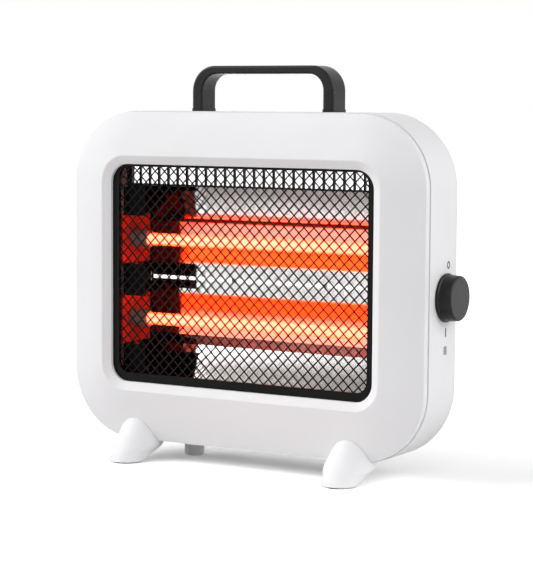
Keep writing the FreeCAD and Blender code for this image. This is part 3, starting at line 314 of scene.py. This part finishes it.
# Strong red: a little oxide from the heat, most of it painted red glow from the tubes.
oxide_and_glow_steel = plated_metal("oxide_and_painted_glow_steel", "#D83A22", roughness=0.65, crystal=4.0, metallic=0.3)
brass = plated_metal("turned_brass", "#C9A45C", roughness=0.28, crystal=3.0)
print("metals:", zinc_steel.name, oxide_and_glow_steel.name, brass.name)

# %% [markdown]
# ## Ceramic
# The tubes sit in caps of unglazed steatite, a chalky ceramic with small pits that scatter the light.
# A fine noise gives both the mottled tone and the pits.

# %% Steatite


def steatite():
    """Chalky ceramic: pits of about 1 mm as bump and a mottled warm grey."""
    material, tree = start_material("unglazed_steatite")
    place = add(tree, "ShaderNodeTexCoord").outputs["Object"]
    noise = add(tree, "ShaderNodeTexNoise", {"Vector": place, "Scale": per_metre(1.0), "Detail": 4.0})
    pits = noise.outputs["Fac"]
    tone = add(tree, "ShaderNodeMixRGB", {
        "Fac": pits, "Color1": linear("#8E8478"), "Color2": linear("#5A5048")})
    bump = add(tree, "ShaderNodeBump", {"Height": pits, "Distance": 0.08 * MM, "Strength": 0.6})
    shader = add(tree, "ShaderNodeBsdfPrincipled", {
        "Base Color": tone.outputs["Color"], "Roughness": 0.8, "IOR": 1.55,
        "Normal": bump.outputs["Normal"]})
    add(tree, "ShaderNodeOutputMaterial", {"Surface": shader.outputs["BSDF"]})
    return material


ceramic = steatite()
print("caps:", ceramic.name)

# %% [markdown]
# ## Quartz and glowing wire
# The quartz is clear and takes an orange glow from the wire inside it. The wire runs at about 1000
# degrees. Its red is several times brighter than white paper, its green and blue about as bright. So
# the picture shows a pale core, while the light that the wire casts on the sheet stays red.

# %% Quartz and wire


def glowing_quartz():
    """Thin clear wall: mostly see-through, with a smooth gloss and an orange glow of its own."""
    material, tree = start_material("fused_quartz_glowing")
    place = add(tree, "ShaderNodeTexCoord").outputs["Object"]
    haze = add(tree, "ShaderNodeTexNoise", {"Vector": place, "Scale": per_metre(6.0), "Detail": 2.0})
    rough = add(tree, "ShaderNodeMapRange", {"Value": haze.outputs["Fac"], "To Min": 0.08, "To Max": 0.2})
    shader = add(tree, "ShaderNodeBsdfPrincipled", {
        "Base Color": linear("#FFE0C8"), "IOR": 1.46, "Alpha": 0.35, "Roughness": rough.outputs["Result"],
        "Emission Color": (1.0, 0.06, 0.004, 1.0), "Emission Strength": 5.0})
    add(tree, "ShaderNodeOutputMaterial", {"Surface": shader.outputs["BSDF"]})
    return material


def glowing_wire():
    """Resistance wire at red-yellow heat; a slow noise along the winding makes some turns hotter."""
    material, tree = start_material("resistance_wire_hot")
    place = add(tree, "ShaderNodeTexCoord").outputs["Object"]
    heat = add(tree, "ShaderNodeTexNoise", {"Vector": place, "Scale": per_metre(30.0), "Detail": 1.0})
    glow = add(tree, "ShaderNodeMixRGB", {
        "Fac": heat.outputs["Fac"], "Color1": (1.0, 0.11, 0.07, 1.0), "Color2": (1.0, 0.14, 0.1, 1.0)})
    shader = add(tree, "ShaderNodeBsdfPrincipled", {
        "Base Color": linear("#5A4A42"), "Metallic": 1.0, "Roughness": 0.5,
        "Emission Color": glow.outputs["Color"], "Emission Strength": 9.0})
    add(tree, "ShaderNodeOutputMaterial", {"Surface": shader.outputs["BSDF"]})
    return material


quartz = glowing_quartz()
hot_wire = glowing_wire()
print("tubes:", quartz.name, hot_wire.name)

# %% [markdown]
# ## A finish for every node
# Each node of the model takes the finish of its real piece. Names tell most of it, so a short list of
# endings gives the material, and what is left over is plated steel.

# %% Assign the finishes
finishes = {
    white_abs: ("front_bezel", "rear_shell", "foot"),
    black_abs: ("handle", "control_knob", "rear_vent_grille", "cord_gland"),
    enamel: ("wire_guard",),
    matt_enamel: ("end_plate",),
    aluminium: ("reflector",),
    quartz: ("quartz_tube",),
    hot_wire: ("heating_coil",),
    ceramic: ("end_cap",),
    rubber: ("foot_pads",),
    pale_rubber: ("rear_feet",),
    oxide_and_glow_steel: ("bracket", "bracket_rivets"),
    phenolic: ("rotary_switch", "tip_over_switch", "thermal_cutout"),
    nylon: ("terminal_block",),
    brass: ("terminal",),
}


def finish_of(node):
    """The finish whose list holds the end of the node's name; plated steel where none does."""
    for material, endings in finishes.items():
        if node.endswith(endings):
            return material
    return zinc_steel


for name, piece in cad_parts.items():
    for slot in piece.material_slots:
        slot.material = finish_of(name)
print(len(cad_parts), "nodes have their finish")

# %% [markdown]
# ## Wound coils
# The solids hold each heating coil as a few wide turns. The real wire is wound much closer, and the
# eye sees its glow as one band with a fine comb in it. A helix is a path whose angle grows with its
# length, and a tube round it is a grid: one index runs along the path, the other round the wire. Both
# new coils stand for the CAD coils.

# %% Coils as grids


def grid_piece(name, points, material):
    """Mesh from a grid of points (along, around, xyz): neighbours make quads, and each row is closed."""
    along, around = points.shape[:2]
    index = np.arange(along * around).reshape(along, around)
    turned = np.roll(index, -1, axis=1)
    quads = np.stack([index[:-1], index[1:], turned[1:], turned[:-1]], axis=-1).reshape(-1, 4)
    mesh = bpy.data.meshes.new(name)
    mesh.from_pydata(points.reshape(-1, 3), [], quads)
    mesh.polygons.foreach_set("use_smooth", np.ones(len(quads), dtype=bool))
    mesh.materials.append(material)
    piece = bpy.data.objects.new(name, mesh)
    scene.collection.objects.link(piece)
    return piece


def helix_tube(low, high, wire, pitch, per_turn=20, around=8):
    """Tube round a helix about X that fills a box: the ring at each step is spanned by the radius and its
    cross product with the heading, so it stays square to the wire."""
    middle = (np.array(low) + np.array(high)) / 2
    radius = (high[1] - low[1] - wire) / 2
    steps = np.arange(round((high[0] - low[0] - wire) / pitch * per_turn) + 1) / per_turn
    angle = 2 * np.pi * steps
    zero = np.zeros_like(angle)
    out = np.stack([zero, np.cos(angle), np.sin(angle)], axis=-1)
    path = middle + radius * out
    path[:, 0] = low[0] + wire / 2 + pitch * steps
    climb = 2 * np.pi * radius
    heading = np.stack([zero + pitch, -climb * np.sin(angle), climb * np.cos(angle)], axis=-1)
    heading /= np.linalg.norm(heading, axis=1, keepdims=True)
    side = np.cross(heading, out)
    ring = np.arange(around) / around * 2 * np.pi
    outward = np.cos(ring)[:, None] * out[:, None]
    sideways = np.sin(ring)[:, None] * side[:, None]
    return path[:, None] + wire / 2 * (outward + sideways)


coil_wire, coil_pitch = 0.9 * MM, 1.7 * MM
for level in ("upper", "lower"):
    node = level + "_heating_coil"
    low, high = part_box(node)
    coil = grid_piece(level + "_wound_coil", helix_tube(low, high, coil_wire, coil_pitch), hot_wire)
    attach(coil, "housing")
    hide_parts(node)
    print(coil.name, len(coil.data.polygons), "quads")

# %% [markdown]
# ## Marks at the knob
# The side wall carries three printed marks: 0 above the knob, I and II below it. Ink has hardly any
# thickness, so each mark is a flat band a twentieth of a millimetre in front of the wall. A band is
# two outlines with quads between them.

# %% Printed marks


def printing_ink():
    """Dark grey ink, matt, with a faint unevenness of 0.5 mm where the screen print is thin."""
    material, tree = start_material("dark_grey_ink")
    place = add(tree, "ShaderNodeTexCoord").outputs["Object"]
    thin = add(tree, "ShaderNodeTexNoise", {"Vector": place, "Scale": per_metre(0.5)})
    tone = add(tree, "ShaderNodeMixRGB", {
        "Fac": thin.outputs["Fac"], "Color1": linear("#161618"), "Color2": linear("#262628")})
    shader = add(tree, "ShaderNodeBsdfPrincipled", {"Base Color": tone.outputs["Color"], "Roughness": 0.6})
    add(tree, "ShaderNodeOutputMaterial", {"Surface": shader.outputs["BSDF"]})
    return material


def flat_band(name, inner, outer, material):
    """Ring of quads between two closed outlines of (y, z) in mm about the knob's axis, on the side wall."""
    knob_low, knob_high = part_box("control_knob")
    axis = np.array([0, (knob_low[1] + knob_high[1]) / 2, (knob_low[2] + knob_high[2]) / 2])
    flat = np.stack([inner, outer]) * MM
    points = np.concatenate([np.zeros_like(flat[:, :, :1]), flat], axis=-1) + axis
    points[:, :, 0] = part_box("rear_shell")[1][0] + ink_gap
    return grid_piece(name, points, material)


ink = printing_ink()
ink_gap = 0.05 * MM
zero_place, zero_inner, zero_outer = (4.3, 24.4), (1.3, 1.8), (2.5, 2.9)
bar_half_width, bar_core = 0.8, 0.01
bar_places = {"mark_1": (0.9, -26.4), "mark_2a": (-1.2, -40.0), "mark_2b": (1.6, -40.0)}
bar_half_heights = {"mark_1": 3.35, "mark_2a": 3.2, "mark_2b": 3.2}
turn = np.arange(48) / 48 * 2 * np.pi
circle = np.column_stack([np.cos(turn), np.sin(turn)])
bar = np.array([(-1, -1), (1, -1), (1, 1), (-1, 1)])
marks = [flat_band("mark_0", circle * zero_inner + zero_place, circle * zero_outer + zero_place, ink)]
for name, place in bar_places.items():
    rim = bar * (bar_half_width, bar_half_heights[name]) + place
    marks.append(flat_band(name, bar * bar_core + place, rim, ink))
for mark in marks:
    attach(mark, "housing")
print(len(marks), "marks beside the knob")

# %% [markdown]
# ## Floor
# The heater stands on a plain pale floor that runs to white and keeps a soft shadow. A floor bright
# enough to clear to white would throw its light up at the heater, so only camera and mirror rays see
# the brighter one, and the light that it throws comes from its plain colour.

# %% Floor


def pale_floor(extra):
    """White vinyl: a diffuse floor with a faint mottle, and extra brightness for camera and mirror rays."""
    material, tree = start_material("white_vinyl_floor")
    place = add(tree, "ShaderNodeTexCoord").outputs["Object"]
    mottle = add(tree, "ShaderNodeTexNoise", {"Vector": place, "Scale": per_metre(120.0)})
    tone = add(tree, "ShaderNodeMixRGB", {
        "Fac": mottle.outputs["Fac"], "Color1": linear("#E0E0E0"), "Color2": linear("#E4E4E4")})
    plain = add(tree, "ShaderNodeBsdfDiffuse", {"Color": tone.outputs["Color"]}).outputs["BSDF"]
    lift = add(tree, "ShaderNodeBsdfDiffuse", {"Color": (extra, extra, extra, 1.0)}).outputs["BSDF"]
    bright = add(tree, "ShaderNodeAddShader", {0: plain, 1: lift}).outputs["Shader"]
    rays = add(tree, "ShaderNodeLightPath").outputs
    seen = add(tree, "ShaderNodeMath", {0: rays["Is Camera Ray"], 1: rays["Is Glossy Ray"]},
               operation="MAXIMUM")
    mixed = add(tree, "ShaderNodeMixShader", {"Fac": seen.outputs[0], 1: plain, 2: bright})
    add(tree, "ShaderNodeOutputMaterial", {"Surface": mixed.outputs["Shader"]})
    return material


floor_half = 30.0                                   # metres
floor_lift = 0.95
floor_corners = [(-floor_half, -floor_half, 0), (floor_half, -floor_half, 0),
                 (floor_half, floor_half, 0), (-floor_half, floor_half, 0)]
mesh = bpy.data.meshes.new("floor")
mesh.from_pydata(floor_corners, [], [(0, 1, 2, 3)])
floor = bpy.data.objects.new("floor", mesh)
floor.data.materials.append(pale_floor(floor_lift))
scene.collection.objects.link(floor)
print("floor of %.0f by %.0f m" % (2 * floor_half, 2 * floor_half))

# %% [markdown]
# ## Sky
# The white background is only for what looks straight at it: camera, mirror and glass rays see white,
# while everything else sees a very dim sky. So the background shows in reflections, while the light
# on the heater comes from the lamps.

# %% Sky
sky_strength = 0.04
mirror_strength = 1.0
world = bpy.data.worlds.new("studio")
world.use_nodes = True
world.node_tree.nodes.clear()
tree = world.node_tree
rays = add(tree, "ShaderNodeLightPath").outputs
mirror = add(tree, "ShaderNodeMapRange", {
    "Value": rays["Is Glossy Ray"], "To Min": sky_strength, "To Max": mirror_strength})
direct = add(tree, "ShaderNodeMath", {0: rays["Is Camera Ray"], 1: rays["Is Transmission Ray"]},
             operation="MAXIMUM")
strength = add(tree, "ShaderNodeMath", {0: mirror.outputs["Result"], 1: direct.outputs[0]},
               operation="MAXIMUM")
sky = add(tree, "ShaderNodeBackground", {"Color": linear("#FFFFFF"), "Strength": strength.outputs[0]})
add(tree, "ShaderNodeOutputWorld", {"Surface": sky.outputs["Background"]})
scene.world = world
print("sky of strength", sky_strength, "behind the heater")

# %% [markdown]
# ## Lamps
# Soft studio light comes from the left, with a weaker light from the front and one from the right
# that keep the slope and the side bright. An area lamp near the heater would leave the floor uneven,
# so the lamps are suns as wide as large soft boxes far away.

# %% Lamps


def wide_sun(name, azimuth, elevation, spread, strength):
    """Far lamp as wide as spread, in degrees: azimuth 0 is the front and 90 the right side."""
    around, above = math.radians(azimuth), math.radians(elevation)
    level = math.cos(above)
    way = Vector((math.sin(around) * level, -math.cos(around) * level, math.sin(above)))
    lamp = bpy.data.objects.new(name, bpy.data.lights.new(name, "SUN"))
    lamp.data.angle = math.radians(spread)
    lamp.data.energy = strength
    lamp.matrix_world = way.to_track_quat("Z", "Y").to_matrix().to_4x4()
    scene.collection.objects.link(lamp)
    return lamp


lamps = [wide_sun("key", azimuth=-60, elevation=25, spread=60, strength=2.55),
         wide_sun("front", azimuth=30, elevation=40, spread=60, strength=0.6),
         wide_sun("side", azimuth=97, elevation=25, spread=60, strength=1.95)]
print("lamps:", [lamp.name for lamp in lamps])

# %% [markdown]
# ## Picture settings
# The Standard view shows a colour about as it is written.

# %% Finish
scene.view_settings.view_transform = "Standard"
